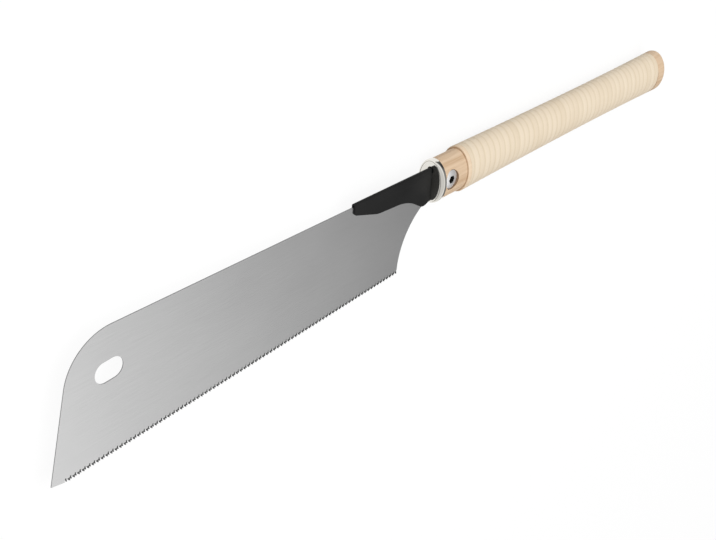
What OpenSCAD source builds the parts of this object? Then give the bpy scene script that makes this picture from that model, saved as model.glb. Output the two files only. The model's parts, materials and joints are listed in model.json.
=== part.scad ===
// Pull saw with a replaceable blade, lying on its side.
// X runs along the handle from the butt to the blade's toe, Y from the blade's back to its teeth,
// and Z up, square to the blade. The origin is the centre of the butt's end face.

/* [Handle] */
// Length from the butt to the ferrule's front face
handle_len = 294; // [260:1:340]
// Width of the handle's oval for each millimetre of its height
oval_ratio = 0.7; // [0.68:0.01:0.8]
// Height of the bare neck
neck_h = 29; // [28.6:0.1:30]
// Length of the neck, from the ferrule's front face to the shoulder
neck_len = 27.2; // [23:0.1:40]
// Height of the step from the neck up to the grip
shoulder_step = 1.6; // [1.2:0.1:2.5]
// Radius of the shoulder's rounded edge
shoulder_round = 1.2; // [0.2:0.1:1.2]
// Height of the grip at its waist
waist_h = 30.3; // [29:0.1:32]
// Distance of the waist from the butt
waist_x = 125; // [100:1:150]
// Height of the grip at its butt
butt_h = 32.8; // [31:0.1:36]
// Radius of the butt's rounded edge
butt_round = 4; // [2:0.1:6]
// Length of the bare band between the shoulder and the wrap
front_band = 3.4; // [2:0.1:8]
// Length of the bare wood between the butt and the wrap
rear_band = 12; // [8:0.5:20]

/* [Grip wrap] */
// Distance from one turn of the strip to the next
wrap_pitch = 5.9; // [5.2:0.1:8]
// Thickness of the strip
wrap_thick = 1.1; // [0.8:0.1:1.5]
// Gap between neighbouring turns
wrap_gap = 0.46; // [0.45:0.01:0.8]
// Clearance between the strip and the wood
wrap_seat = 0.35; // [0.33:0.01:0.5]

/* [Ferrule] */
// Length of the ferrule
ferrule_len = 4; // [3.6:0.1:7]
// How far the ferrule stands proud of the neck
ferrule_proud = 0.65; // [0.5:0.05:0.8]
// Thickness of the ferrule's sheet
ferrule_wall = 0.8; // [0.6:0.1:1]
// Length of the ferrule's rounded rim along the handle
rim_round = 2.4; // [1.5:0.1:3]
// Breadth of the rounded rim at the ferrule's flat sides
rim_side = 3.4; // [2:0.1:3.8]
// Breadth of the rounded rim above and below the slot
rim_end = 1.6; // [1.2:0.1:1.8]
// Depth of the groove in the rim
groove_depth = 0.25; // [0.1:0.05:0.3]
// Place of the groove, as the angle of the rim's rounding
groove_turn = 26; // [20:1:40]
// Space in the ferrule's slot above the blade holder
slot_over = 0.5; // [0.4:0.1:1]
// Diameter of the hole at the slot's upper end
relief_d = 4.8; // [4:0.1:6]
// Space in the ferrule's slot below the blade holder
slot_under = 0.5; // [0.4:0.1:0.6]

/* [Blade] */
// Thickness of the saw plate
blade_thick = 0.6; // [0.4:0.05:0.9]
// Distance from the ferrule's face to the heel end of the teeth
heel_reach = 29; // [26:0.5:40]
// Distance from the handle's axis to the heel end of the teeth
heel_drop = 52.7; // [48:0.1:60]
// Angle between the tooth line and the handle
tooth_angle = 2.74; // [1:0.01:5]
// Number of teeth
tooth_count = 174; // [120:2:200]
// Distance from one tooth to the next
tooth_pitch = 1.522; // [1.2:0.001:1.8]
// Height of a tooth
tooth_depth = 1.9; // [1.5:0.1:2.4]
// How far a tooth is bent out to its side
tooth_set = 0.07; // [0:0.01:0.2]
// Length of the toothless edge at the toe
nose_len = 8.5; // [6:0.1:14]
// Length of the toothless edge at the heel
heel_land = 0.3; // [0.2:0.1:2]
// Lean of the toe's edge
toe_lean = 13.5; // [8:0.5:20]
// Radius of the corner between the toe and the back
toe_round = 32; // [24:1:40]
// Distance of the blade's back from the handle's axis, at the ferrule's face
spine_rise = 8.2; // [7:0.1:9]
// Angle between the blade's back and the handle
spine_angle = 0.56; // [0:0.01:1]
// Radius of the hollow heel
heel_round = 48.5; // [46:0.5:52]
// Lean of the heel's edge where it meets the teeth
heel_lean = 3.3; // [2:0.1:5]

/* [Hanging slot] */
// Length of the slot
hang_len = 18.2; // [14:0.1:24]
// Width of the slot
hang_w = 12.2; // [8:0.1:14]
// Distance of the slot's centre from the toe, along the handle
hang_back = 40.4; // [36:0.1:60]
// Distance of the slot's centre from the blade's back
hang_depth = 26; // [22:0.1:34]
// Angle between the slot and the handle
hang_tilt = 3.9; // [0:0.1:8]

/* [Blade holder] */
// Thickness of the holder's sheet
sheet_thick = 1.1; // [0.8:0.05:1.2]
// Clearance between the blade and the holder
sheet_play = 0.03; // [0.02:0.01:0.06]
// Space between the blade's back and the inside of the fold
fold_play = 0.9; // [0.1:0.1:1]
// Distance from the ferrule's face to the holder's front end
holder_reach = 75.3; // [70:0.1:95]
// Height of the holder's front end
holder_nose = 7.4; // [6:0.1:10]
// Radius of the lower corner of that end
nose_round = 2.5; // [1:0.1:3]
// Distance from the ferrule's face to the bend behind the nose
holder_bend = 53; // [45:0.5:58]
// Distance of that bend below the handle's axis
bend_drop = 3.4; // [2:0.1:5]
// Radius of that bend
bend_round = 24; // [10:1:30]
// Distance from the ferrule's face to the hollow in front of the lip
hollow_reach = 23.3; // [18:0.1:30]
// Distance of that hollow below the handle's axis
hollow_drop = 5.2; // [4:0.1:7]
// Radius of that hollow
hollow_round = 40; // [20:1:44]
// Distance from the ferrule's face to the lip
lip_reach = 7.2; // [6:0.1:9]
// Distance of the lip below the handle's axis
lip_drop = 15.4; // [14.5:0.1:16]
// Radius of the lip
lip_round = 7; // [3:0.1:8]
// Distance of the holder's lower edge below the handle's axis, at the ferrule's face
mouth_drop = 12.6; // [12:0.1:12.8]

/* [Tang] */
// Length of the tang inside the handle
tang_len = 46; // [36:1:60]
// Distance of the tang's lower edge from the handle's axis
tang_drop = 10.8; // [10.2:0.1:11.5]
// Clearance between the tang and the kerf on each flat side
kerf_play = 0.12; // [0.05:0.01:0.3]
// Clearance between the tang and the kerf's edges
kerf_edge = 0.4; // [0.3:0.1:0.6]
// Space behind the tang
kerf_end = 2; // [1:0.5:6]
// Clearance between the fork and the sleeve nut
fork_play = 0.4; // [0.3:0.1:0.8]

/* [Clamp screw] */
// Distance between the screw's head and the ferrule's rear edge
screw_gap = 0.6; // [0.4:0.1:3]
// Distance of the screw above the handle's axis
screw_rise = 1; // [-1:0.1:2]
// Diameter of the screw
screw_d = 6; // [5:0.1:6.5]
// Diameter of the screw's head
head_d = 12.8; // [11:0.1:13.4]
// Height of the screw's head
head_h = 3.4; // [3:0.1:3.8]
// Height of the upright rim of the head
head_rim = 2.2; // [1:0.1:2.6]
// Size of the hex socket across its flats
hex_flats = 5; // [4:0.1:5.5]
// Depth of the hex socket
hex_depth = 2.2; // [1.5:0.1:2.6]
// Distance of the head's top below the side of the neck
head_sink = 0.4; // [0:0.1:1]
// Thickness of the washer
washer_thick = 1; // [0.6:0.1:1.4]
// Clearance between the screw and the washer's hole
washer_play = 0.2; // [0.1:0.05:0.4]
// Clearance round the head in its counterbore
bore_play = 0.3; // [0.25:0.05:0.5]
// Diameter of the sleeve nut's barrel
sleeve_d = 8; // [7.6:0.1:8.8]
// Clearance between the barrel and the wood
barrel_play = 0.1; // [0.05:0.05:0.3]
// Distance between the barrel's end and the washer, for the clamping travel
clamp_travel = 1.6; // [1:0.1:2.5]
// Length of the thread inside the barrel
thread_len = 9.4; // [7:0.1:10]
// Space in the thread beyond the screw's end
thread_spare = 1; // [0.5:0.1:2]
// Clearance between the screw and the thread
thread_play = 0.05; // [0.02:0.01:0.1]
// Clearance between fixed pieces that sit in each other
fit = 0.05; // [0.02:0.01:0.1]

/* [Hidden] */

// Counts that set how finely the curved forms are divided
oval_sides = 48;
round_steps = 5;
grip_steps = 12;
rings_per_turn = 16;
corner_steps = 16;
heel_steps = 24;
$fn = 64;

// Length by which a cutter runs past the faces that it cuts
past = 1;
// Height of the strip of plate that carries the teeth
root_h = 0.3;
// Length over which the holder keeps its depth inside the ferrule, before it narrows to the tang
mouth_len = 3;
// Share of the strip's width that is left at its two cut ends
tail_share = 0.3;
// Half the angle that the groove in the ferrule's rim takes up
groove_span = 5;
// Depth of the space behind the hole at the slot's upper end
relief_len = 6;

// Places along the handle
face_x = handle_len;
ferrule_x = handle_len - ferrule_len;
shoulder_x = handle_len - neck_len;
wrap_x0 = rear_band;
wrap_x1 = shoulder_x - front_band;
screw_x = ferrule_x - screw_gap - head_d / 2;
tang_x = handle_len - tang_len;
mouth_x = handle_len - mouth_len;

// Half heights of the handle's ovals, and the angles of a rounded edge
neck_half = neck_h / 2;
shoulder_half = neck_half + shoulder_step;
ferrule_half = neck_half + ferrule_proud;
quarter = [for (i = [0 : round_steps]) 90 * i / round_steps];

// Widths across the blade, and sizes that follow from the wrap
holder_t = blade_thick + 2 * (sheet_play + sheet_thick);
kerf_w = holder_t + 2 * kerf_play;
strip_w = wrap_pitch - wrap_gap;
wrap_sink = wrap_thick + wrap_seat;

// Heights of the clamp's parts, measured from the blade's middle plane
head_top = oval_ratio * neck_half - head_sink;
head_seat = head_top - head_h;
washer_seat = head_seat - washer_thick;
barrel_top = washer_seat - clamp_travel;
thread_end = barrel_top - thread_len;
shank_end = thread_end + thread_spare;
bore_d = head_d + 2 * bore_play;
washer_d = head_d + bore_play / 2;

function unit(angle) = [cos(angle), sin(angle)];
function cross2(p, q) = p[0] * q[1] - p[1] * q[0];
// Point where the line through p along u meets the line through q along v
function meet(p, u, q, v) = p + u * cross2(q - p, v) / cross2(u, v);
// Height at x of the line through p along u
function line_y(p, u, x) = p[1] + u[1] / u[0] * (x - p[0]);

// Points of a rounding of radius r at corner b between a and c
function rounding(a, b, c, r) =
    let (
        u = (a - b) / norm(a - b),
        v = (c - b) / norm(c - b),
        half = acos(u * v) / 2,
        centre = b + (u + v) / norm(u + v) * r / sin(half),
        start = b + u * r / tan(half) - centre,
        turn = (180 - 2 * half) * sign(cross2(b - a, c - b)))
    [for (i = [0 : corner_steps])
        let (w = turn * i / corner_steps)
        centre + [start[0] * cos(w) - start[1] * sin(w), start[0] * sin(w) + start[1] * cos(w)]];
// Outline through corners given as [point, radius], with a rounding where the radius isn't nought
function rounded(corners) =
    let (n = len(corners))
    [for (i = [0 : n - 1])
        let (a = corners[(i + n - 1) % n][0], b = corners[i][0], c = corners[(i + 1) % n][0])
        each corners[i][1] > 0 ? rounding(a, b, c, corners[i][1]) : [b]];

// Directions and corner points of the blade, in the plane of the blade
tooth_dir = unit(tooth_angle);
spine_dir = unit(-spine_angle);
toe_dir = [-sin(toe_lean), -cos(toe_lean)];
spine_start = [face_x, -spine_rise];
fold_start = spine_start - [0, fold_play + sheet_thick];
heel = [face_x + heel_reach, heel_drop];
heel_centre = heel + heel_round * [-cos(heel_lean), sin(heel_lean)];
// Corners of the nose, with x along the tooth line from the heel and y towards the blade's back
teeth_end = heel_land + tooth_count * tooth_pitch;
nose_start = [teeth_end + tooth_pitch / 4, -root_h - tooth_depth];
toe_tip = [teeth_end + nose_len, -root_h];
toe_root = [toe_tip[0] - root_h * tan(toe_lean + tooth_angle), 0];
toe_foot = heel + tooth_dir * toe_root[0];
toe_corner = meet(toe_foot, toe_dir, spine_start, spine_dir);

// Heights at x of the blade's back and of the top of the holder's fold
function spine_y(x) = line_y(spine_start, spine_dir, x);
function fold_y(x) = line_y(fold_start, spine_dir, x);
// Height of the upper end of the ferrule's slot
slot_top = fold_y(face_x) - slot_over;
// Change of a point in the plane of the blade to axes along the tooth line and towards the back
function on_teeth(p) =
    let (v = p - heel)
    [v * tooth_dir, -cross2(tooth_dir, v)];

// Half the grip's height at x, over the wrap: a waist that swells to the shoulder and to the butt
function grip_half(x) =
    let (
        end = x > waist_x ? shoulder_half : butt_h / 2,
        reach = x > waist_x ? shoulder_x - waist_x : waist_x)
    waist_h / 2 + (end - waist_h / 2) * pow((x - waist_x) / reach, 2);
// Oval at x as [x, half height, half width], drawn in by less all round
function station(x, half, less = 0) = [x, half - less, oval_ratio * half - less];

// Oval of the ferrule's rounded rim at the angle t of its rounding, drawn in by less all round
function rim_ring(t, less = 0) = [
    face_x - less - (rim_round - less) * (1 - cos(t)),
    ferrule_half - less - (rim_end - less) * (1 - sin(t)),
    oval_ratio * ferrule_half - less - (rim_side - less) * (1 - sin(t))];

// Faces of a tube of n-sided rings, where ring 0 is the one furthest along x and the ends are closed by fans
function tube_faces(n, rings) =
    let (last = (rings - 1) * n)
    concat(
        [for (i = [1 : n - 2]) [0, i + 1, i]],
        [for (i = [0 : n - 3]) [last + n - 1, last + i, last + i + 1]],
        [for (k = [0 : rings - 2]) for (i = [0 : n - 1])
            let (a = k * n + i, b = k * n + (i + 1) % n)
            each [[a, b, b + n], [a, b + n, a + n]]]);

// Solid through a row of ovals, with x never growing from one to the next
module oval_loft(stations) {
    points = [for (s = stations) for (i = [0 : oval_sides - 1])
        let (t = 360 * i / oval_sides)
        [s[0], s[1] * cos(t), s[2] * sin(t)]];
    polyhedron(points = points, faces = tube_faces(oval_sides, len(stations)), convexity = 4);
}

// Handle's outside from the tenon under the ferrule to the butt, with the seat of the wrap
module handle_body() {
    tenon = ferrule_wall + fit;
    edge_half = grip_half(shoulder_x - shoulder_round);
    butt_half = grip_half(butt_round);
    oval_loft(concat(
        [for (t = quarter) rim_ring(t, tenon)],
        [station(ferrule_x, ferrule_half, tenon), station(ferrule_x, neck_half),
            station(shoulder_x, neck_half)],
        [for (t = quarter)
            station(shoulder_x - shoulder_round * (1 - cos(t)), edge_half, shoulder_round * (1 - sin(t)))],
        [station(wrap_x1, grip_half(wrap_x1))],
        [for (i = [0 : grip_steps])
            let (x = wrap_x1 + (wrap_x0 - wrap_x1) * i / grip_steps)
            station(x, grip_half(x), wrap_sink)],
        [station(wrap_x0, grip_half(wrap_x0))],
        [for (t = quarter)
            station(butt_round * (1 - sin(t)), butt_half, butt_round * (1 - cos(t)))]));
}

// Places its children on the clamp's axis
module on_clamp() {
    translate([screw_x, -screw_rise, 0]) children();
}

// Wooden handle with the kerf for the tang and the cross hole for the clamp
module handle_core() {
    kerf_x = tang_x - kerf_end;
    front_x = face_x + past;
    deep = mouth_drop + kerf_edge;
    shallow = tang_drop + kerf_edge;
    color("burlywood")
    difference() {
        handle_body();
        linear_extrude(kerf_w, center = true)
            polygon([[kerf_x, fold_y(kerf_x) - kerf_edge], [front_x, fold_y(front_x) - kerf_edge],
                [front_x, deep], [mouth_x, deep], [mouth_x - mouth_len, shallow], [kerf_x, shallow]]);
        translate([face_x - relief_len, slot_top, -relief_d / 2]) cube([relief_len, relief_d, relief_d]);
        on_clamp() {
            cylinder(d = sleeve_d + 2 * barrel_play, h = neck_h, center = true);
            translate([0, 0, washer_seat]) cylinder(d = bore_d, h = neck_h);
            mirror([0, 0, 1]) translate([0, 0, head_seat]) cylinder(d = bore_d, h = neck_h);
        }
    }
}

// Section of the strip, in shares of its width and of its thickness
strip_section = [[-0.5, 0], [-0.5, 0.55], [-0.25, 1], [0.25, 1], [0.5, 0.55], [0.5, 0]];
// The strip's middle line runs from start to stop, and its ends are trimmed along the seat's two ends
wrap_front = wrap_x1 - fit;
wrap_rear = wrap_x0 + fit;
wrap_start = wrap_front + (0.5 - tail_share) * strip_w;
wrap_stop = wrap_rear - (0.5 - tail_share) * strip_w;
wrap_steps = floor((wrap_start - wrap_stop) / wrap_pitch * rings_per_turn);
// Points across the strip after k steps
function strip_ring(k) =
    let (t = 360 * k / rings_per_turn, x = wrap_start - wrap_pitch * k / rings_per_turn)
    [for (p = strip_section)
        let (
            px = min(max(x + p[0] * strip_w, wrap_rear), wrap_front),
            s = station(px, grip_half(px), (1 - p[1]) * wrap_thick))
        [px, s[1] * cos(t), s[2] * sin(t)]];
strip_rings = [for (k = [0 : wrap_steps]) strip_ring(k)];
// Least distance between the points of neighbouring turns
least_gap = min([for (k = [0 : wrap_steps - rings_per_turn]) for (p = strip_rings[k])
    for (q = strip_rings[k + rings_per_turn]) norm(p - q)]);

// Flat strip wound round the grip as one unbroken length
module grip_wrap() {
    echo(least_gap_between_turns = least_gap, turns = wrap_steps / rings_per_turn);
    color("wheat")
    polyhedron(points = [for (r = strip_rings) each r],
        faces = tube_faces(len(strip_section), wrap_steps + 1), convexity = 10);
}

// Ferrule's outside, from the front face over the rounded rim with its groove to the rear edge
module ferrule_body() {
    after = groove_turn + groove_span;
    oval_loft(concat(
        [for (t = [0, groove_turn / 2, groove_turn - groove_span]) rim_ring(t)],
        [rim_ring(groove_turn) - [groove_depth, 0, 0]],
        [for (i = [0 : round_steps]) rim_ring(after + (90 - after) * i / round_steps)],
        [station(ferrule_x, ferrule_half)]));
}

// Polished cap over the front of the handle, with the slot that the blade goes through
module ferrule() {
    deep = ferrule_wall + 2 * past;
    color("silver")
    difference() {
        ferrule_body();
        oval_loft(concat([for (t = quarter) rim_ring(t, ferrule_wall)],
            [station(ferrule_x - past, ferrule_half, ferrule_wall)]));
        translate([face_x - ferrule_wall - past, slot_top, 0]) {
            translate([0, relief_d / 2, -kerf_w / 2])
                cube([deep, mouth_drop + slot_under - slot_top - relief_d / 2, kerf_w]);
            translate([0, relief_d / 2, 0]) rotate([0, 90, 0]) cylinder(d = relief_d, h = deep);
        }
    }
}

// Places its children along the tooth line, with y towards the blade's back
module along_teeth() {
    translate([heel[0], heel[1], 0]) rotate([0, 0, tooth_angle]) mirror([0, 1, 0]) children();
}

// Corners of a tooth on the side that it is bent to and on its other side, from its gullet over its tip
// to the end of its top bevel, in shares of the pitch and of the depth
outer_corners = [[0, 0], [0.15, 1], [0.4, 0.8]];
inner_corners = [[0.25, 0], [0.33, 0.6], [0.38, 0.58]];

// Row of teeth with the nose: the steep edge of each tooth faces the handle, and its slanting bevels and
// its bend to the side change over from tooth to tooth
module tooth_row() {
    half_t = blade_thick / 2;
    // The corners of tooth i on the side where z has the sign of s
    function tooth_points(i, s) =
        let (way = i % 2 == 0 ? 1 : -1, x = heel_land + i * tooth_pitch)
        [for (p = way == s ? outer_corners : inner_corners)
            [x + p[0] * tooth_pitch, -root_h - p[1] * tooth_depth, s * half_t + way * p[1] * tooth_set]];
    function side_points(s) = concat(
        [for (i = [0 : tooth_count - 1]) each tooth_points(i, s)],
        [for (p = [[teeth_end, -root_h], nose_start, toe_tip, toe_root, [heel_land, 0]])
            [p[0], p[1], s * half_t]]);
    end = 3 * tooth_count;
    nose = end + 1;
    toe = end + 2;
    foot = end + 3;
    start = end + 4;
    m = end + 5;
    // Triangles of one side, with its points counted from o
    function side_faces(o) = concat(
        [for (i = [0 : tooth_count - 1])
            let (g = o + 3 * i)
            each [[g, g + 1, g + 2], [g, g + 2, g + 3], [o + foot, g, g + 3]]],
        [[o + start, o, o + foot], [o + foot, o + end, o + nose], [o + foot, o + nose, o + toe]]);
    upper = [for (f = side_faces(0)) [f[0], f[2], f[1]]];
    lower = side_faces(m);
    outline = concat([start], [for (i = [0 : end]) i], [nose, toe, foot]);
    edges = [for (k = [0 : len(outline) - 1])
        let (a = outline[k], b = outline[(k + 1) % len(outline)])
        each [[a, b + m, a + m], [a, b, b + m]]];
    polyhedron(points = concat(side_points(1), side_points(-1)), faces = concat(upper, lower, edges),
        convexity = 6);
}

// Points of the hollow heel, from inside the ferrule down to the teeth
function heel_arc() =
    let (from = -acos((mouth_x - heel_centre[0]) / heel_round), to = -heel_lean)
    [for (i = [0 : heel_steps - 1]) heel_centre + heel_round * unit(from + (to - from) * i / heel_steps)];

// Outline of the saw plate above the tooth line, with its tang
module plate() {
    arc = heel_arc();
    tang = [[tang_x, spine_y(tang_x)], [tang_x, arc[0][1]]];
    polygon(concat(
        [[0, 0], toe_root],
        rounding(toe_root, on_teeth(toe_corner), on_teeth(spine_start), toe_round),
        [for (p = concat(tang, arc)) on_teeth(p)]));
}

// Space that the sleeve nut's barrel takes in the tang, open to the rear
module fork_cut() {
    d = sleeve_d + 2 * fork_play;
    on_clamp() {
        cylinder(d = d, h = neck_h, center = true);
        translate([-tang_len, -d / 2, -neck_h / 2]) cube([tang_len, d, neck_h]);
    }
}

// Slot with round ends that the saw hangs by
module hang_slot() {
    x = toe_foot[0] - hang_back;
    apart = (hang_len - hang_w) / 2;
    deep = blade_thick + 2 * past;
    translate([x, spine_y(x) + hang_depth, 0]) rotate([0, 0, hang_tilt]) {
        for (s = [-1, 1])
            translate([s * apart, 0, 0]) cylinder(d = hang_w, h = deep, center = true);
        cube([2 * apart, hang_w, deep], center = true);
    }
}

// Spring-steel blade with its teeth, hanging slot and forked tang
module blade() {
    color("lightgray")
    difference() {
        along_teeth() union() {
            linear_extrude(blade_thick, center = true) plate();
            tooth_row();
        }
        hang_slot();
        fork_cut();
    }
}

// Section across the fold: a sheet bent round over the blade's back, with y down from the fold's top
module fold_section() {
    r = holder_t / 2;
    gap = blade_thick / 2 + sheet_play;
    deep = lip_drop - fold_y(face_x + holder_reach) + past;
    polygon(concat(
        [for (i = [0 : corner_steps]) [0, r] + r * unit(180 + 180 * i / corner_steps)],
        [[r, deep], [gap, deep], [gap, sheet_thick], [-gap, sheet_thick], [-gap, deep], [-r, deep]]));
}

// Outline of the holder and its tang, seen from the side
function holder_outline() =
    let (front_x = face_x + holder_reach, over = fold_y(front_x) - past)
    rounded([
        [[tang_x, over], 0],
        [[front_x, over], 0],
        [[front_x, fold_y(front_x) + holder_nose], nose_round],
        [[face_x + holder_bend, bend_drop], bend_round],
        [[face_x + hollow_reach, hollow_drop], hollow_round],
        [[face_x + lip_reach, lip_drop], lip_round],
        [[face_x, mouth_drop], 0],
        [[mouth_x, mouth_drop], 0],
        [[mouth_x - mouth_len, tang_drop], 0],
        [[tang_x, tang_drop], 0]]);

// Black sheet-steel holder, folded over the blade's back and forked inside the handle
module blade_holder() {
    rear_x = tang_x - past;
    color([0.13, 0.13, 0.13])
    difference() {
        intersection() {
            translate([rear_x, fold_y(rear_x), 0]) rotate([0, 0, -spine_angle]) rotate([0, 90, 0])
                linear_extrude(tang_len + holder_reach + 3 * past) fold_section();
            linear_extrude(holder_t + 2 * past, center = true) polygon(holder_outline());
        }
        fork_cut();
    }
}

// Domed head with a hex socket, standing on z = 0
module socket_head() {
    dome_h = head_h - head_rim;
    dome_r = (pow(head_d / 2, 2) + pow(dome_h, 2)) / (2 * dome_h);
    difference() {
        intersection() {
            cylinder(d = head_d, h = head_h + past);
            translate([0, 0, head_h - dome_r]) sphere(dome_r);
        }
        translate([0, 0, head_h - hex_depth])
            cylinder(d = hex_flats / cos(30), h = hex_depth + past, $fn = 6);
    }
}

// Button-head screw that squeezes the handle's kerf onto the tang
module clamp_screw() {
    color("silver")
    on_clamp() {
        translate([0, 0, head_seat]) socket_head();
        translate([0, 0, shank_end]) cylinder(d = screw_d, h = head_seat - shank_end);
    }
}

// Plain washer under the screw's head
module screw_washer() {
    color("lightsteelblue")
    on_clamp() translate([0, 0, washer_seat])
        difference() {
            cylinder(d = washer_d, h = washer_thick);
            translate([0, 0, -past]) cylinder(d = screw_d + 2 * washer_play, h = washer_thick + 2 * past);
        }
}

// Sleeve nut from the far side, whose barrel takes the screw
module sleeve_nut() {
    color("silver")
    on_clamp()
        difference() {
            union() {
                mirror([0, 0, 1]) translate([0, 0, head_seat]) socket_head();
                translate([0, 0, -head_seat]) cylinder(d = sleeve_d, h = head_seat + barrel_top);
            }
            translate([0, 0, thread_end]) cylinder(d = screw_d + 2 * thread_play, h = thread_len + past);
        }
}

blade();
blade_holder();
ferrule();
handle_core();
grip_wrap();
clamp_screw();
screw_washer();
sleeve_nut();
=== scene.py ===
"""Looks of the pull saw: finer pieces over the CAD frame, materials, a plain studio and the camera."""

import itertools
import json
import math

import bmesh
import bpy
from mathutils import Matrix, Vector
from mathutils.kdtree import KDTree

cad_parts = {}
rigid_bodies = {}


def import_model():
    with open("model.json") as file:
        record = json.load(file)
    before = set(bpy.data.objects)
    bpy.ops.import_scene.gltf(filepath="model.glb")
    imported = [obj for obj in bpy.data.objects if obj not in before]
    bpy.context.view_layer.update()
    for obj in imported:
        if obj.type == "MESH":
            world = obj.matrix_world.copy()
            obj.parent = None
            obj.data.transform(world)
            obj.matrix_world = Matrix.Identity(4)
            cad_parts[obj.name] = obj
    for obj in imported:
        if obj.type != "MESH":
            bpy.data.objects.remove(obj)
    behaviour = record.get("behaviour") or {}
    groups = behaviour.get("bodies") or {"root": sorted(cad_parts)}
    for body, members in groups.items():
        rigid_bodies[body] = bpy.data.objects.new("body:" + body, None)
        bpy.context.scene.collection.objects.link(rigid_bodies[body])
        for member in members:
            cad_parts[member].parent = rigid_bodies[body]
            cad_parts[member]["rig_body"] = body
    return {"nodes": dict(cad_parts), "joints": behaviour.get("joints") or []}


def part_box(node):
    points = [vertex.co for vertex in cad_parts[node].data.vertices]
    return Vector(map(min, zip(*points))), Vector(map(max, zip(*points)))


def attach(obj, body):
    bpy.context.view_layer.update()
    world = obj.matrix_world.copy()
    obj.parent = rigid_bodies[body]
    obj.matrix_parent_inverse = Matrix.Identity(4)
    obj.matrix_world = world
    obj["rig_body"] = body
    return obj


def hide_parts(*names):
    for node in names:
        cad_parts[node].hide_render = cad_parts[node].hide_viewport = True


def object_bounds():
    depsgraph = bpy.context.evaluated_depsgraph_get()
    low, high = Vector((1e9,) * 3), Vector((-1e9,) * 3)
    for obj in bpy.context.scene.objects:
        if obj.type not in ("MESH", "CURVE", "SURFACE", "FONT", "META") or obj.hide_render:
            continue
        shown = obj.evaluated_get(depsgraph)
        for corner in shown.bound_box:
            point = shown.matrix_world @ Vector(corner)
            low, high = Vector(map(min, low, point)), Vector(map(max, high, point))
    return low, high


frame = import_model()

CAD_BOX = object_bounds()
NODES = frame["nodes"]
JOINTS = {joint["name"]: joint for joint in frame["joints"]}

MM = 0.001
RIGHT_ANGLE = math.pi / 2

# Points nearer than MERGE are made one, faces that differ by less than FLAT are joined, and cutters
# go on by PAST beyond the faces that they cut
MERGE = 0.002 * MM
FLAT = math.radians(0.2)
PAST = 1 * MM

# Sides of turned forms, and steps of rounded ones
ROUND_SIDES = 64
SCREW_SIDES = 48
BUTT_STEPS = 10
GRIP_STEPS = 24
SHOULDER_STEPS = 8
RIM_STEPS = 10
FACE_STEPS = 4
INNER_RIM_STEPS = 6
STRIP_STEPS = 8
DOME_STEPS = 12
THREAD_STEPS = 8

# Handle, in metres, with X along it from the butt's end face and ovals given by their half heights
OVAL_RATIO = 0.7
OVAL_SIDES = 96
NECK_HALF = 14.5 * MM
SHOULDER_X = 266.8 * MM
SHOULDER_HALF = 16.1 * MM
SHOULDER_ROUND = 1.2 * MM
WAIST_X = 125 * MM
WAIST_HALF = 15.15 * MM
BUTT_HALF = 16.4 * MM
BUTT_ROUND = 4 * MM

# Ferrule, whose rounded rim is broader at its flat sides than above and below the slot
FERRULE_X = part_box("ferrule")[0].x
FACE_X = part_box("ferrule")[1].x
FERRULE_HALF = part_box("ferrule")[1].y
FERRULE_WALL = 0.8 * MM
TENON_PLAY = 0.05 * MM
RIM_LEN = 2.4 * MM
RIM_SIDE = 3.4 * MM
RIM_END = 1.6 * MM
GROOVE_TURN = math.radians(26)
GROOVE_SPAN = math.radians(5)
GROOVE_DEPTH = 0.25 * MM

# Strip wound round the grip
WRAP_X0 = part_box("grip_wrap")[0].x
WRAP_X1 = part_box("grip_wrap")[1].x
WRAP_PITCH = 5.9 * MM
WRAP_THICK = 1.1 * MM
WRAP_SEAM = 0.04 * MM
WRAP_SEAT = 0.1 * MM
WRAP_TAIL = 0.2
WRAP_STEPS = 48
WRAP_CROWN = 0.16

# Kerf in the wood, and the slot in the ferrule with the hole at its upper end
HOLDER_LOW, HOLDER_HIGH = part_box("blade_holder")
KERF_PLAY = 0.12 * MM
KERF_END = 2 * MM
KERF_W = HOLDER_HIGH.z - HOLDER_LOW.z + 2 * KERF_PLAY
KERF_X = HOLDER_LOW.x - KERF_END
KERF_Y = (-10.6 * MM, 11.2 * MM)
SLOT_Y = (-10.7 * MM, 13.1 * MM)
RELIEF_D = 4.8 * MM
RELIEF_LEN = 6 * MM
SLOT_DEEP = 2 * MM

# Clamp: the screw, its washer and the sleeve nut share one axis
CLAMP = Vector(JOINTS["screw_turn"]["pos_m"]).xy
HEAD_D = 12.8 * MM
HEAD_RIM = 2.2 * MM
HEAD_EDGE = 0.15 * MM
HEAD_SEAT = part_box("screw_washer")[1].z
HEAD_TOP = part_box("clamp_screw")[1].z
BORE_PLAY = 0.3 * MM
BORE_R = HEAD_D / 2 + BORE_PLAY
HEX_FLATS = 5 * MM
HEX_R = HEX_FLATS / math.sqrt(3)
HEX_DEPTH = 2.2 * MM
WASHER_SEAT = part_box("screw_washer")[0].z
WASHER_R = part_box("screw_washer")[1].x - CLAMP.x
WASHER_HOLE_R = 3.2 * MM
WASHER_EDGE = 0.12 * MM
SCREW_R = 3 * MM
SCREW_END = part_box("clamp_screw")[0].z
THREAD_PITCH = 1 * MM
THREAD_DEPTH = 0.5 * MM
THREAD_LEN = 9 * MM
THREAD_PLAY = 0.05 * MM
THREAD_SPARE = 1 * MM
BARREL_R = 4 * MM
BARREL_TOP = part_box("sleeve_nut")[1].z
BARREL_EDGE = 0.2 * MM
BARREL_PLAY = 0.1 * MM

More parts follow.
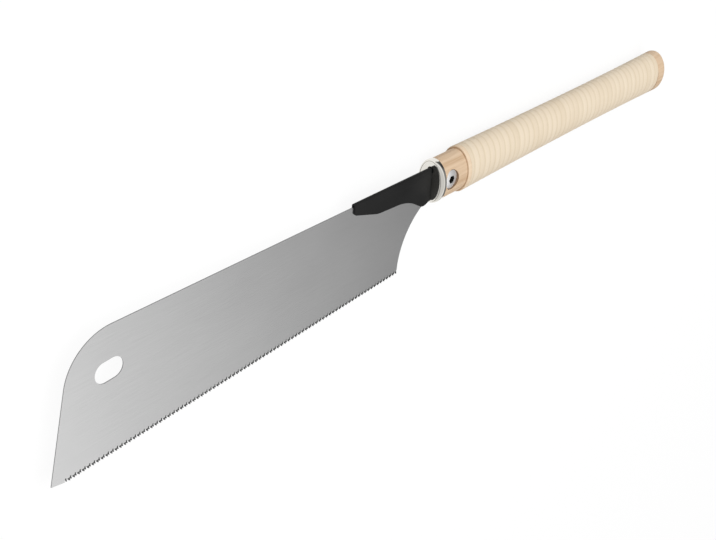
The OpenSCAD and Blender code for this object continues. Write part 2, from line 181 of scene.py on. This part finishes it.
# Tooth line, from its heel end: each CAD tooth has three corners on the side that it is bent to and
# three on its other side, in shares of the pitch and of the depth, and the finer teeth move them
HEEL = Vector((323 * MM, 52.7 * MM, 0))
TOOTH_ANGLE = math.radians(2.74)
TOOTH_WAY = Vector((math.cos(TOOTH_ANGLE), math.sin(TOOTH_ANGLE), 0))
TOOTH_OUT = Vector((-math.sin(TOOTH_ANGLE), math.cos(TOOTH_ANGLE), 0))
TOOTH_PITCH = 1.522 * MM
TOOTH_COUNT = 174
HEEL_LAND = 0.3 * MM
ROOT_H = 0.3 * MM
BLADE_HALF = 0.3 * MM
CORNER_REACH = 0.01 * MM
FACET_BACK = 0.45 * MM
CAD_TEETH = {
    "depth": 1.9 * MM, "set": 0.07 * MM,
    "outer": ((0, 0), (0.15, 1), (0.4, 0.8)), "inner": ((0.25, 0), (0.33, 0.6), (0.38, 0.58)),
}
FINE_TEETH = {
    "depth": 2.5 * MM, "set": 0.2 * MM,
    "outer": ((0, 0), (0.13, 1), (0.34, 0.87)), "inner": ((0.45, 0), (0.2, 0.92), (0.8, 0.72)),
}

# Broken edges of the blade and rounded edges of the holder's sheet
BLADE_EDGE = 0.04 * MM
SHEET_EDGE = 0.25 * MM

# Studio: a floor that is seen as white, a lamp overhead, and walls with a bright band across the saw,
# dimmer overhead and towards the toe, far dimmer towards the butt and darkest in a corner there. The
# walls' light is the product of spans, each (from, to, light before, light after) along a direction
FLOOR_SIZE = 40
FLOOR_THICK = 0.01
FLOOR_GLOW = 1.18
FLOOR_TONE = 0.5
FLOOR_GLOW_SHARE = 0.75
LAMP_AT = Vector((0.3, -0.7, 1.3))
LAMP_AIM = Vector((0.3, 0, 0))
LAMP_SIZE = 2.2
LAMP_POWER = 14.5
TOE_SIDE = (0.85, 0.2, 0.49)
DARK_CORNER = (-0.75, -0.6, 0.25)
WALL_SPANS = (
    (TOE_SIDE, (-0.42, 0.35, 0.157, 1.1)),
    (TOE_SIDE, (-0.75, -0.5, 2.6, 1)),
    (TOE_SIDE, (0.16, 0.6, 1, 0.62)),
    (DARK_CORNER, (0.87, 0.96, 1, 0.3)),
)

# Camera that took the photograph
CAMERA_AT = (0.8706, -0.3368, 0.4102)
CAMERA_RIGHT = Vector((-0.6464, -0.0434, 0.7618))
CAMERA_UP = Vector((-0.3546, -0.8669, -0.3503))
SENSOR = 36
PHOTO_WIDTH = 716
FOCAL_PIXELS = 1225


def link(name, data):
    """A new object for a mesh, lamp or camera, in the scene."""
    piece = bpy.data.objects.new(name, data)
    bpy.context.scene.collection.objects.link(piece)
    return piece


def made_mesh(name, points, faces):
    mesh = bpy.data.meshes.new(name)
    mesh.from_pydata([tuple(p) for p in points], [], faces)
    mesh.update()
    return mesh


def smooth(mesh, angle=35):
    """The mesh with smooth shading that stays crisp at edges sharper than the angle."""
    mesh.shade_smooth()
    mesh.set_sharp_from_angle(angle=math.radians(angle))
    return mesh


def stand_for(node, mesh, material):
    """The mesh as a piece that replaces the CAD node and rides on its body."""
    piece = link(node + "_look", mesh)
    mesh.materials.clear()
    mesh.materials.append(material)
    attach(piece, NODES[node]["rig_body"])
    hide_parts(node)


def full_turn(steps):
    """Angles of one turn, without its end."""
    return [2 * math.pi * i / steps for i in range(steps)]


def steps_between(first, last, steps):
    """Evenly spaced values from the first to the last."""
    return [first + (last - first) * i / steps for i in range(steps + 1)]


def ring_walls(first, second, sides):
    """Quads between two rings of points that start at the two numbers."""
    following = [(i + 1) % sides for i in range(sides)]
    return [(first + i, first + j, second + j, second + i) for i, j in enumerate(following)]


def tube_faces(rings, sides):
    """Quads between rings of points, and the two end faces."""
    last = (rings - 1) * sides
    starts = range(0, last, sides)
    walls = [face for start in starts for face in ring_walls(start, start + sides, sides)]
    return walls + [tuple(reversed(range(sides))), tuple(range(last, last + sides))]


def station(x, half, less=0.0):
    """An oval of the handle as x, half height and half width, drawn in by less all round."""
    return x, half - less, OVAL_RATIO * half - less


def loft(name, stations, middle=0.0):
    """Mesh through a row of ovals that starts at the butt's side, round the line where y is middle."""
    turns = full_turn(OVAL_SIDES)
    points = [(x, middle + h * math.cos(t), w * math.sin(t)) for x, h, w in stations for t in turns]
    return made_mesh(name, points, tube_faces(len(stations), OVAL_SIDES))


def clamp_point(radius, turn, z):
    """Point at a radius and an angle round the clamp's axis."""
    return CLAMP.x + radius * math.cos(turn), CLAMP.y + radius * math.sin(turn), z


def turned(profile, sides):
    """Points of a profile of (radius, z), turned about the clamp's axis."""
    return [clamp_point(r, turn, z) for r, z in profile for turn in full_turn(sides)]


def lathe(name, profile, sides=ROUND_SIDES):
    """Closed mesh of a profile that is turned about the clamp's axis."""
    return made_mesh(name, turned(profile, sides), tube_faces(len(profile), sides))


def rod(name, radius, low, high, sides=ROUND_SIDES):
    """Cylinder or prism mesh on the clamp's axis."""
    return lathe(name, [(radius, low), (radius, high)], sides)


def block(name, low, high):
    """Box mesh between two corners."""
    spans = zip(reversed(low), reversed(high))
    points = [(x, y, z) for z, y, x in itertools.product(*spans)]
    faces = [(0, 2, 3, 1), (4, 5, 7, 6), (0, 1, 5, 4), (2, 6, 7, 3), (0, 4, 6, 2), (1, 3, 7, 5)]
    return made_mesh(name, points, faces)


def cut(mesh, cutters):
    """The mesh with the cutters' meshes taken away from it."""
    piece = link("cut", mesh)
    others = [link("cutter", cutter) for cutter in cutters]
    for other in others:
        modifier = piece.modifiers.new("cut", "BOOLEAN")
        modifier.operation = "DIFFERENCE"
        modifier.solver = "EXACT"
        modifier.object = other
    depsgraph = bpy.context.evaluated_depsgraph_get()
    result = bpy.data.meshes.new_from_object(piece.evaluated_get(depsgraph))
    for other in [piece, *others]:
        bpy.data.objects.remove(other)
    return merged(result)


def merged(mesh):
    """The mesh with near points made one, and without the faces of no area that this leaves."""
    shape = bmesh.new()
    shape.from_mesh(mesh)
    bmesh.ops.remove_doubles(shape, verts=shape.verts, dist=MERGE)
    bmesh.ops.dissolve_degenerate(shape, dist=MERGE, edges=shape.edges)
    shape.to_mesh(mesh)
    shape.free()
    return mesh


def bevel(mesh, width, segments, angle):
    """Rounds the edges that are sharper than the angle, after joining faces that lie in one plane."""
    shape = bmesh.new()
    shape.from_mesh(mesh)
    bmesh.ops.remove_doubles(shape, verts=shape.verts, dist=MERGE)
    bmesh.ops.dissolve_limit(shape, angle_limit=FLAT, verts=shape.verts, edges=shape.edges)
    least = math.radians(angle)
    sharp = [e for e in shape.edges if len(e.link_faces) == 2 and e.calc_face_angle() > least]
    bmesh.ops.bevel(
        shape, geom=sharp, offset=width, segments=segments, profile=0.5,
        affect="EDGES", clamp_overlap=True,
    )
    shape.to_mesh(mesh)
    shape.free()
    return mesh


def grip_half(x):
    """Half the grip's height: a waist that swells to the shoulder and to the butt."""
    end, reach = (SHOULDER_HALF, SHOULDER_X - WAIST_X) if x > WAIST_X else (BUTT_HALF, WAIST_X)
    return WAIST_HALF + (end - WAIST_HALF) * ((x - WAIST_X) / reach) ** 2


def rim_ring(turn, less=0.0):
    """Oval of the ferrule's rounded rim, from its face at a turn of 0, drawn in by less all round."""
    inward = 1 - math.sin(turn)
    return (
        FACE_X - less - (RIM_LEN - less) * (1 - math.cos(turn)),
        FERRULE_HALF - less - (RIM_END - less) * inward,
        OVAL_RATIO * FERRULE_HALF - less - (RIM_SIDE - less) * inward,
    )


def handle_mesh():
    """Wooden handle from the rounded butt to the tenon, with its kerf and cross hole."""
    butt = grip_half(BUTT_ROUND)
    edge = grip_half(SHOULDER_X - SHOULDER_ROUND)
    tenon = FERRULE_WALL + TENON_PLAY
    stations = []
    for turn in steps_between(0, RIGHT_ANGLE, BUTT_STEPS):
        x = BUTT_ROUND * (1 - math.cos(turn))
        stations.append(station(x, butt, BUTT_ROUND * (1 - math.sin(turn))))
    stations.append(station(WRAP_X0, grip_half(WRAP_X0)))
    for x in steps_between(WRAP_X0, WRAP_X1, GRIP_STEPS):
        stations.append(station(x, grip_half(x), WRAP_THICK + WRAP_SEAT))
    stations.append(station(WRAP_X1, grip_half(WRAP_X1)))
    for turn in steps_between(0, RIGHT_ANGLE, SHOULDER_STEPS):
        x = SHOULDER_X - SHOULDER_ROUND * (1 - math.sin(turn))
        stations.append(station(x, edge, SHOULDER_ROUND * (1 - math.cos(turn))))
    stations.append(station(SHOULDER_X, NECK_HALF))
    stations.append(station(FERRULE_X, NECK_HALF))
    stations.append(station(FERRULE_X, FERRULE_HALF, tenon))
    stations += [rim_ring(turn, tenon) for turn in steps_between(RIGHT_ANGLE, 0, INNER_RIM_STEPS)]
    deep = NECK_HALF
    half = RELIEF_D / 2
    relief_x = FACE_X - RELIEF_LEN
    relief_end = SLOT_Y[0] + RELIEF_D
    return smooth(cut(loft("handle", stations), [
        block("kerf", (KERF_X, KERF_Y[0], -KERF_W / 2), (FACE_X, KERF_Y[1], KERF_W / 2)),
        block("relief", (relief_x, SLOT_Y[0], -half), (FACE_X, relief_end, half)),
        rod("hole", BARREL_R + BARREL_PLAY, -deep, deep),
        rod("head_bore", BORE_R, WASHER_SEAT, deep),
        rod("nut_bore", BORE_R, -deep, -HEAD_SEAT),
    ]))


def ferrule_mesh():
    """Polished cap with a rounded, grooved rim and the blade's slot, which ends in a round hole."""
    before, after = GROOVE_TURN + GROOVE_SPAN, GROOVE_TURN - GROOVE_SPAN
    groove_x, groove_h, groove_w = rim_ring(GROOVE_TURN)
    stations = [station(FERRULE_X, FERRULE_HALF)]
    stations += [rim_ring(turn) for turn in steps_between(RIGHT_ANGLE, before, RIM_STEPS)]
    stations.append((groove_x - GROOVE_DEPTH, groove_h, groove_w))
    stations += [rim_ring(turn) for turn in steps_between(after, 0, FACE_STEPS)]
    inside = [station(FERRULE_X - PAST, FERRULE_HALF, FERRULE_WALL)]
    turns = steps_between(RIGHT_ANGLE, 0, INNER_RIM_STEPS)
    inside += [rim_ring(turn, FERRULE_WALL) for turn in turns]
    back_x, front_x = FACE_X - SLOT_DEEP, FACE_X + PAST
    half = RELIEF_D / 2
    middle = SLOT_Y[0] + half
    return smooth(cut(loft("ferrule", stations), [
        loft("inside", inside),
        block("slot", (back_x, middle, -KERF_W / 2), (front_x, SLOT_Y[1], KERF_W / 2)),
        loft("relief", [(back_x, half, half), (front_x, half, half)], middle),
    ]))


def wrap_mesh():
    """Flat strip with a crowned top, wound round the grip. Its UVs run along and across the strip."""
    width = WRAP_PITCH - WRAP_SEAM
    start = WRAP_X1 + WRAP_TAIL * width
    stop = WRAP_X0 - WRAP_TAIL * width
    rings = int((start - stop) / WRAP_PITCH * WRAP_STEPS) + 1
    across = steps_between(-0.5, 0.5, STRIP_STEPS)
    section = [(-0.5, 0), *[(s, 1) for s in across], (0.5, 0)]
    points = []
    for k in range(rings):
        turn = 2 * math.pi * k / WRAP_STEPS
        middle = start - WRAP_PITCH * k / WRAP_STEPS
        for s, top in section:
            x = min(max(middle + s * width, WRAP_X0), WRAP_X1)
            rise = top * (1 - WRAP_CROWN * abs(2 * (x - middle) / width) ** 3)
            _, h, w = station(x, grip_half(x), (1 - rise) * WRAP_THICK)
            points.append((x, h * math.cos(turn), w * math.sin(turn)))
    sides = len(section)
    mesh = made_mesh("wrap", points, [tuple(reversed(f)) for f in tube_faces(rings, sides)])
    layer = mesh.uv_layers.new(name="strip")
    for loop in mesh.loops:
        k, i = divmod(loop.vertex_index, sides)
        layer.data[loop.index].uv = (k / WRAP_STEPS, section[i][0] + 0.5)
    return smooth(merged(mesh), angle=50)


def head_profile():
    """Profile of the screw's domed head from its seat up, as (radius, z)."""
    radius = HEAD_D / 2
    dome_h = HEAD_TOP - HEAD_SEAT - HEAD_RIM
    dome_r = (radius**2 + dome_h**2) / (2 * dome_h)
    full = math.asin(radius / dome_r)
    dome = steps_between(full, full / DOME_STEPS, DOME_STEPS - 1)
    return [
        (radius - HEAD_EDGE, HEAD_SEAT),
        (radius, HEAD_SEAT + HEAD_EDGE),
        *[(dome_r * math.sin(a), HEAD_TOP - dome_r * (1 - math.cos(a))) for a in dome],
    ]


def thread_radius(along, turn):
    """Radius after a length along the screw: flat crests and roots, and a run-out at the end."""
    phase = (along / THREAD_PITCH - turn / (2 * math.pi)) % 1
    sunk = min(max(3 * abs(2 * phase - 1) - 1, 0), 1)
    run_out = min(max((THREAD_LEN - along) / THREAD_PITCH, 0), 1)
    return SCREW_R - THREAD_DEPTH * sunk * run_out


def screw_mesh():
    """Button-head screw with a hex socket and a helical thread."""
    shank = HEAD_SEAT - SCREW_END
    heights = steps_between(0, shank, int(THREAD_STEPS * shank / THREAD_PITCH))
    points = [
        clamp_point(thread_radius(along, turn), turn, SCREW_END + along)
        for along in heights for turn in full_turn(SCREW_SIDES)
    ]
    head = head_profile()
    rings = len(heights) + len(head)
    points += turned(head, SCREW_SIDES)
    mesh = made_mesh("screw", points, tube_faces(rings, SCREW_SIDES))
    return smooth(cut(mesh, [rod("hex", HEX_R, HEAD_TOP - HEX_DEPTH, HEAD_TOP + PAST, sides=6)]))


def washer_mesh():
    """Plain washer with softened edges."""
    sides = ROUND_SIDES
    low, high = WASHER_SEAT, HEAD_SEAT
    wall = [(WASHER_R - WASHER_EDGE, low), (WASHER_R, low + WASHER_EDGE)]
    wall += [(WASHER_R, high - WASHER_EDGE), (WASHER_R - WASHER_EDGE, high)]
    wall += [(WASHER_HOLE_R + WASHER_EDGE, high), (WASHER_HOLE_R, high - WASHER_EDGE)]
    wall += [(WASHER_HOLE_R, low + WASHER_EDGE), (WASHER_HOLE_R + WASHER_EDGE, low)]
    n = len(wall)
    faces = [face for k in range(n) for face in ring_walls(k * sides, (k + 1) % n * sides, sides)]
    return smooth(made_mesh("washer", turned(wall, sides), faces))


def nut_mesh():
    """Sleeve nut: a domed head like the screw's, turned over, and a barrel that takes the screw."""
    head = [(r, -z) for r, z in reversed(head_profile())]
    barrel = [(BARREL_R, -HEAD_SEAT), (BARREL_R, BARREL_TOP - BARREL_EDGE)]
    barrel.append((BARREL_R - BARREL_EDGE, BARREL_TOP))
    return smooth(cut(lathe("nut", head + barrel), [
        rod("hex", HEX_R, -HEAD_TOP - PAST, -HEAD_TOP + HEX_DEPTH, sides=6),
        rod("thread", SCREW_R + THREAD_PLAY, SCREW_END - THREAD_SPARE, BARREL_TOP + PAST),
    ]))


def tooth_corners(teeth, i, side):
    """The corners of tooth i on one side of the blade. The teeth are bent to each side in turn."""
    way = 1 if i % 2 == 0 else -1
    for share, height in teeth["outer" if way == side else "inner"]:
        along = HEEL_LAND + (i + share) * TOOTH_PITCH
        point = HEEL + along * TOOTH_WAY + (ROOT_H + height * teeth["depth"]) * TOOTH_OUT
        yield point + Vector((0, 0, side * BLADE_HALF + way * height * teeth["set"]))


def blade_mesh():
    """The CAD blade with taller teeth that are bent further, and with its edges just broken."""
    mesh = NODES["blade"].data.copy()
    tree = KDTree(len(mesh.vertices))
    for vertex in mesh.vertices:
        tree.insert(vertex.co, vertex.index)
    tree.balance()
    for i, side in itertools.product(range(TOOTH_COUNT), (1, -1)):
        corners = [tooth_corners(teeth, i, side) for teeth in (CAD_TEETH, FINE_TEETH)]
        for before, after in zip(*corners):
            for _, index, _ in tree.find_range(before, CORNER_REACH):
                mesh.vertices[index].co = after
    mesh = bevel(mesh, BLADE_EDGE, segments=1, angle=20)
    mesh.shade_flat()
    return mesh


def holder_mesh():
    """The CAD holder with rounded sheet edges."""
    mesh = NODES["blade_holder"].data.copy()
    return smooth(bevel(mesh, SHEET_EDGE, segments=3, angle=35), angle=30)


class NodeTree:
    """A node tree, with short calls to add nodes and links."""

    def __init__(self, tree):
        self.tree = tree

    def add(self, kind, **settings):
        node = self.tree.nodes.new(kind)
        for key, value in settings.items():
            setattr(node, key, value)
        return node

    def join(self, source, target):
        self.tree.links.new(source, target)

    def feed(self, node, key, value):
        """Sets an input to a number, a colour, a vector or another node's output."""
        if isinstance(value, bpy.types.NodeSocket):
            self.join(value, node.inputs[key])
        else:
            node.inputs[key].default_value = value

    def vector(self, operation, first, second):
        node = self.add("ShaderNodeVectorMath", operation=operation)
        self.feed(node, 0, first)
        self.feed(node, 1, second)
        return node.outputs

    def math(self, operation, first, second=0.0, third=0.0):
        node = self.add("ShaderNodeMath", operation=operation)
        for i, value in enumerate((first, second, third)):
            self.feed(node, i, value)
        return node.outputs[0]

    def apart(self, first, second):
        """How far two values are apart."""
        return self.math("ABSOLUTE", self.math("SUBTRACT", first, second))

    def fade(self, value, start, end, low=0.0, high=1.0):
        """Smooth change from low to high while the value goes from start to end."""
        node = self.add("ShaderNodeMapRange", interpolation_type="SMOOTHSTEP")
        self.feed(node, "Value", value)
        self.feed(node, "From Min", start)
        self.feed(node, "From Max", end)
        self.feed(node, "To Min", low)
        self.feed(node, "To Max", high)
        return node.outputs["Result"]


class Shader(NodeTree):
    """The node tree of a new material."""

    def __init__(self, name, surface="ShaderNodeBsdfPrincipled"):
        self.material = bpy.data.materials.new(name)
        self.material.use_nodes = True
        super().__init__(self.material.node_tree)
        self.tree.nodes.clear()
        self.surface = self.add(surface)
        self.output = self.add("ShaderNodeOutputMaterial")
        self.join(self.surface.outputs[0], self.output.inputs["Surface"])
        self.places = self.add("ShaderNodeTexCoord").outputs

    def stretched(self, scale, place="Object"):
        """Coordinates times a scale for each axis."""
        node = self.add("ShaderNodeMapping")
        self.join(self.places[place], node.inputs["Vector"])
        node.inputs["Scale"].default_value = scale
        return node.outputs["Vector"]

    def along(self, direction, place="Object"):
        """Distance of a point along a direction, from the origin."""
        return self.vector("DOT_PRODUCT", self.places[place], direction)["Value"]

    def off_clamp(self):
        """Distance from the clamp's axis."""
        flat = self.vector("MULTIPLY", self.places["Object"], (1, 1, 0))["Vector"]
        return self.vector("DISTANCE", flat, (*CLAMP, 0))["Value"]

    def noise(self, vector, scale=1.0, detail=3.0, distortion=0.0):
        node = self.add("ShaderNodeTexNoise")
        self.join(vector, node.inputs["Vector"])
        node.inputs["Scale"].default_value = scale
        node.inputs["Detail"].default_value = detail
        node.inputs["Distortion"].default_value = distortion
        return node.outputs["Fac"]

    def ramp(self, factor, stops):
        """Colour ramp through stops of (place, colour)."""
        node = self.add("ShaderNodeValToRGB")
        self.join(factor, node.inputs["Fac"])
        elements = node.color_ramp.elements
        while len(elements) < len(stops):
            elements.new(0.5)
        for element, (place, colour) in zip(elements, stops):
            element.position = place
            element.color = colour
        return node.outputs["Color"]

    def tones(self, noise, first, second):
        """Colour between two tones, over the middle of a noise's range."""
        return self.ramp(noise, [(0.3, first), (0.7, second)])

    def mix(self, factor, first, second):
        """Mix of two colours, for which the node has inputs 6 and 7 and output 2."""
        node = self.add("ShaderNodeMix", data_type="RGBA")
        self.feed(node, 0, factor)
        self.feed(node, 6, first)
        self.feed(node, 7, second)
        return node.outputs[2]

    def bump(self, height, strength, distance):
        node = self.add("ShaderNodeBump")
        self.join(height, node.inputs["Height"])
        node.inputs["Strength"].default_value = strength
        node.inputs["Distance"].default_value = distance
        self.join(node.outputs["Normal"], self.surface.inputs["Normal"])

    def roughen(self, noise, span, least):
        """Roughness that a noise varies by a span above its least."""
        self.set(Roughness=self.math("MULTIPLY_ADD", noise, span, least))

    def set(self, **values):
        """Sets inputs of the surface, named with _ for spaces."""
        for key, value in values.items():
            self.feed(self.surface, key.replace("_", " "), value)


def grey(level):
    return level, level, level, 1


def srgb(red, green, blue):
    """Linear colour of an 8-bit one."""
    shares = (red / 255, green / 255, blue / 255)
    return (*[v / 12.92 if v <= 0.04045 else ((v + 0.055) / 1.055) ** 2.4 for v in shares], 1)


def steel():
    """Finely ground saw plate with a faint grain, cloudy patches, and darker edges and filed teeth."""
    s = Shader("saw_steel")
    edge_grey, filed_grey = grey(0.22), grey(0.14)
    facet_half, facet_core, facet_rise = 0.55 * MM, 0.25 * MM, 0.8 * MM
    filed_from, filed_full = 0.5 * MM, 0.9 * MM
    row_len, row_fade = TOOTH_COUNT * TOOTH_PITCH, 0.2 * MM
    grain = s.noise(s.stretched((60, 2500, 2500)))
    cloud = s.noise(s.stretched((14, 22, 22)))
    cloudy = s.tones(cloud, grey(0.77), grey(0.83))
    grained = s.tones(grain, grey(0.76), grey(0.84))
    tone = s.mix(0.5, cloudy, grained)
    level = s.math("ABSOLUTE", s.along((0, 0, 1), "Normal"))
    tone = s.mix(s.fade(level, 0.8, 0.4), tone, edge_grey)
    beyond = s.math("SUBTRACT", s.along(TOOTH_OUT), HEEL.dot(TOOTH_OUT))
    along = s.math("SUBTRACT", s.along(TOOTH_WAY), HEEL.dot(TOOTH_WAY) + HEEL_LAND)
    from_facet = s.math("WRAP", s.math("ADD", along, FACET_BACK), TOOTH_PITCH, -TOOTH_PITCH)
    facet = s.fade(s.math("ABSOLUTE", from_facet), facet_half, facet_core, 0, facet_rise)
    filed = s.fade(s.math("ADD", beyond, facet), filed_from, filed_full)
    toothed = s.fade(along, row_len + row_fade, row_len)
    tone = s.mix(s.math("MULTIPLY", filed, toothed), tone, filed_grey)
    s.set(Base_Color=tone, Metallic=1.0)
    s.roughen(cloud, 0.08, 0.22)
    s.bump(grain, 0.12, 0.02 * MM)
    return s.material


def black_sheet():
    """Satin black paint with a fine orange peel."""
    s = Shader("black_sheet")
    peel = s.noise(s.places["Object"], scale=2200, detail=2)
    cloud = s.noise(s.places["Object"], scale=60)
    s.set(Base_Color=s.tones(cloud, grey(0.012), grey(0.016)), Specular_IOR_Level=0.12)
    s.roughen(cloud, 0.1, 0.42)
    s.bump(peel, 0.15, 0.04 * MM)
    return s.material


def nickel():
    """Polished plating with faint fine wiping marks, and painted shade as a dark line in the rim's
    groove.
    """
    s = Shader("bright_plate")
    dull, bright = (0.80, 0.77, 0.71, 1), (0.86, 0.84, 0.79, 1)
    groove_shade_half, groove_shade_core = 0.12 * MM, 0.06 * MM
    marks = s.noise(s.stretched((300, 900, 900)))
    cloud = s.noise(s.places["Object"], scale=120)
    # Painted shade: a dark line along the rim's groove, where shade falls
    from_groove = s.apart(s.along((1, 0, 0)), rim_ring(GROOVE_TURN)[0])
    groove_shade = s.fade(from_groove, groove_shade_half, groove_shade_core)
    s.set(Base_Color=s.mix(groove_shade, s.tones(cloud, dull, bright), grey(0.06)), Metallic=1.0)
    s.roughen(marks, 0.12, 0.03)
    return s.material


def screw_steel():
    """Satin plated steel, with painted shade that makes the inside of the hex sockets near black."""
    s = Shader("screw_steel")
    dull, bright = (0.90, 0.89, 0.88, 1), (0.97, 0.96, 0.96, 1)
    mouth, soft = HEAD_TOP - 0.5 * MM, 0.1 * MM
    marks = s.noise(s.places["Object"], scale=900)
    height = s.math("ABSOLUTE", s.along((0, 0, 1)))
    # Painted shade: the socket's inside, below its mouth, is made near black
    in_hex = s.fade(s.off_clamp(), HEX_R + soft, HEX_R)
    socket_shade = s.math("MULTIPLY", s.fade(height, mouth, mouth - soft), in_hex)
    s.set(Base_Color=s.mix(socket_shade, s.tones(marks, dull, bright), grey(0.03)), Metallic=0.6)
    s.roughen(marks, 0.15, 0.14)
    return s.material


def wood():
    """Pale straight-grained wood with darker pores, a painted highlight on the band at the shoulder,
    and painted shade in the shoulder's corner and the screw's bore.
    """
    s = Shader("handle_wood")
    light, middle, dark = srgb(227, 201, 172), srgb(219, 191, 160), srgb(206, 175, 142)
    pore_brown, band_highlight = srgb(188, 154, 118), srgb(240, 218, 190)
    corner_shade, bore_shade = srgb(150, 108, 70), srgb(118, 82, 52)
    band_highlight_half, band_highlight_core = 1.7 * MM, 1.2 * MM
    corner_shade_half, corner_shade_core = 0.4 * MM, 0.05 * MM
    bore_out, bore_in = BORE_R + 0.1 * MM, BORE_R - 0.05 * MM
    rings = s.noise(s.stretched((7, 420, 420)), detail=4, distortion=0.3)
    pores = s.noise(s.stretched((90, 2600, 2600)))
    tone = s.ramp(rings, [(0.32, dark), (0.5, middle), (0.68, light)])
    tone = s.mix(s.ramp(pores, [(0.3, grey(0.4)), (0.46, grey(0))]), tone, pore_brown)
    x = s.along((1, 0, 0))
    # Painted highlight: the band between the wrap and the shoulder is made paler, as if lit on its
    # rounding
    from_band = s.apart(x, (SHOULDER_X + WRAP_X1) / 2)
    tone = s.mix(s.fade(from_band, band_highlight_half, band_highlight_core, 0, 0.7), tone, band_highlight)
    # Painted shade: a brown line in the corner of the shoulder's step
    from_corner = s.apart(x, SHOULDER_X)
    tone = s.mix(s.fade(from_corner, corner_shade_half, corner_shade_core, 0, 0.4), tone, corner_shade)
    # Painted shade: the wall of the screw's bore is darkened
    tone = s.mix(s.fade(s.off_clamp(), bore_out, bore_in, 0, 0.9), tone, bore_shade)
    s.set(Base_Color=tone, Specular_IOR_Level=0.3)
    s.roughen(rings, 0.15, 0.48)
    s.bump(pores, 0.12, 0.05 * MM)
    return s.material


def cane():
    """Split cane: fine fibres along the strip, tones that change from turn to turn and darker seams."""
    s = Shader("cane_strip")
    light, middle, dark = srgb(240, 225, 203), srgb(236, 220, 197), srgb(230, 213, 188)
    seam = srgb(216, 198, 166)
    fibres = s.noise(s.stretched((3, 40, 1), "UV"), detail=4)
    turns = s.noise(s.stretched((1.1, 0.4, 1), "UV"), detail=2)
    tone = s.ramp(turns, [(0.3, dark), (0.5, middle), (0.7, light)])
    tone = s.mix(s.ramp(fibres, [(0.35, grey(0.3)), (0.55, grey(0))]), tone, seam)
    from_middle = s.apart(s.along((0, 1, 0), "UV"), 0.5)
    tone = s.mix(s.fade(from_middle, 0.3, 0.5, 0, 0.5), tone, seam)
    s.set(Base_Color=tone, Specular_IOR_Level=0.3)
    s.roughen(fibres, 0.15, 0.5)
    s.bump(fibres, 0.15, 0.06 * MM)
    return s.material


def floor():
    """Large pale floor under the saw: seen as near white, with a light shadow left in it."""
    size = FLOOR_SIZE / 2
    z = CAD_BOX[0].z
    piece = link("floor", block("floor", (-size, -size, z - FLOOR_THICK), (size, size, z)))
    s = Shader("floor", "ShaderNodeBsdfDiffuse")
    s.surface.inputs["Color"].default_value = grey(FLOOR_TONE)
    rays = s.add("ShaderNodeLightPath").outputs
    seen = s.math("MAXIMUM", rays["Is Camera Ray"], rays["Is Glossy Ray"])
    seen = s.math("MAXIMUM", seen, rays["Is Transmission Ray"])
    glow = s.add("ShaderNodeEmission")
    glow.inputs["Strength"].default_value = FLOOR_GLOW
    both = s.add("ShaderNodeMixShader")
    s.join(s.math("MULTIPLY", seen, FLOOR_GLOW_SHARE), both.inputs[0])
    s.join(s.surface.outputs[0], both.inputs[1])
    s.join(glow.outputs[0], both.inputs[2])
    s.join(both.outputs[0], s.output.inputs["Surface"])
    piece.data.materials.append(s.material)


def world():
    """Studio walls, whose light is the product of the spans."""
    made = bpy.data.worlds.new("studio")
    bpy.context.scene.world = made
    made.use_nodes = True
    walls = NodeTree(made.node_tree)
    towards = walls.add("ShaderNodeTexCoord").outputs["Generated"]
    light = 1
    for direction, span in WALL_SPANS:
        along = walls.vector("DOT_PRODUCT", towards, direction)["Value"]
        light = walls.math("MULTIPLY", light, walls.fade(along, *span))
    background = walls.tree.nodes["Background"]
    background.inputs["Color"].default_value = grey(1)
    walls.join(light, background.inputs["Strength"])


def lamp():
    """Round soft lamp overhead. Metal mirrors the walls and the floor, and not the lamp."""
    light = bpy.data.lights.new("overhead", "AREA")
    light.shape = "DISK"
    light.size = LAMP_SIZE
    light.energy = LAMP_POWER
    piece = link("overhead", light)
    piece.location = LAMP_AT
    piece.rotation_mode = "QUATERNION"
    piece.rotation_quaternion = (LAMP_AIM - LAMP_AT).to_track_quat("-Z", "Y")
    piece.visible_glossy = False


def camera():
    """Camera at the photograph's place, angle and field of view."""
    data = bpy.data.cameras.new("camera")
    data.sensor_width = SENSOR
    data.lens = SENSOR * FOCAL_PIXELS / PHOTO_WIDTH
    piece = link("camera", data)
    turn = Matrix((CAMERA_RIGHT, CAMERA_UP, CAMERA_RIGHT.cross(CAMERA_UP))).transposed()
    piece.matrix_world = Matrix.Translation(CAMERA_AT) @ turn.to_4x4()
    bpy.context.scene.camera = piece


camera()
clamp_steel = screw_steel()
stand_for("blade", blade_mesh(), steel())
stand_for("blade_holder", holder_mesh(), black_sheet())
stand_for("ferrule", ferrule_mesh(), nickel())
stand_for("handle_core", handle_mesh(), wood())
stand_for("grip_wrap", wrap_mesh(), cane())
stand_for("clamp_screw", screw_mesh(), clamp_steel)
stand_for("screw_washer", washer_mesh(), clamp_steel)
stand_for("sleeve_nut", nut_mesh(), clamp_steel)

floor()
world()
lamp()
bpy.context.scene.view_settings.view_transform = "Standard"
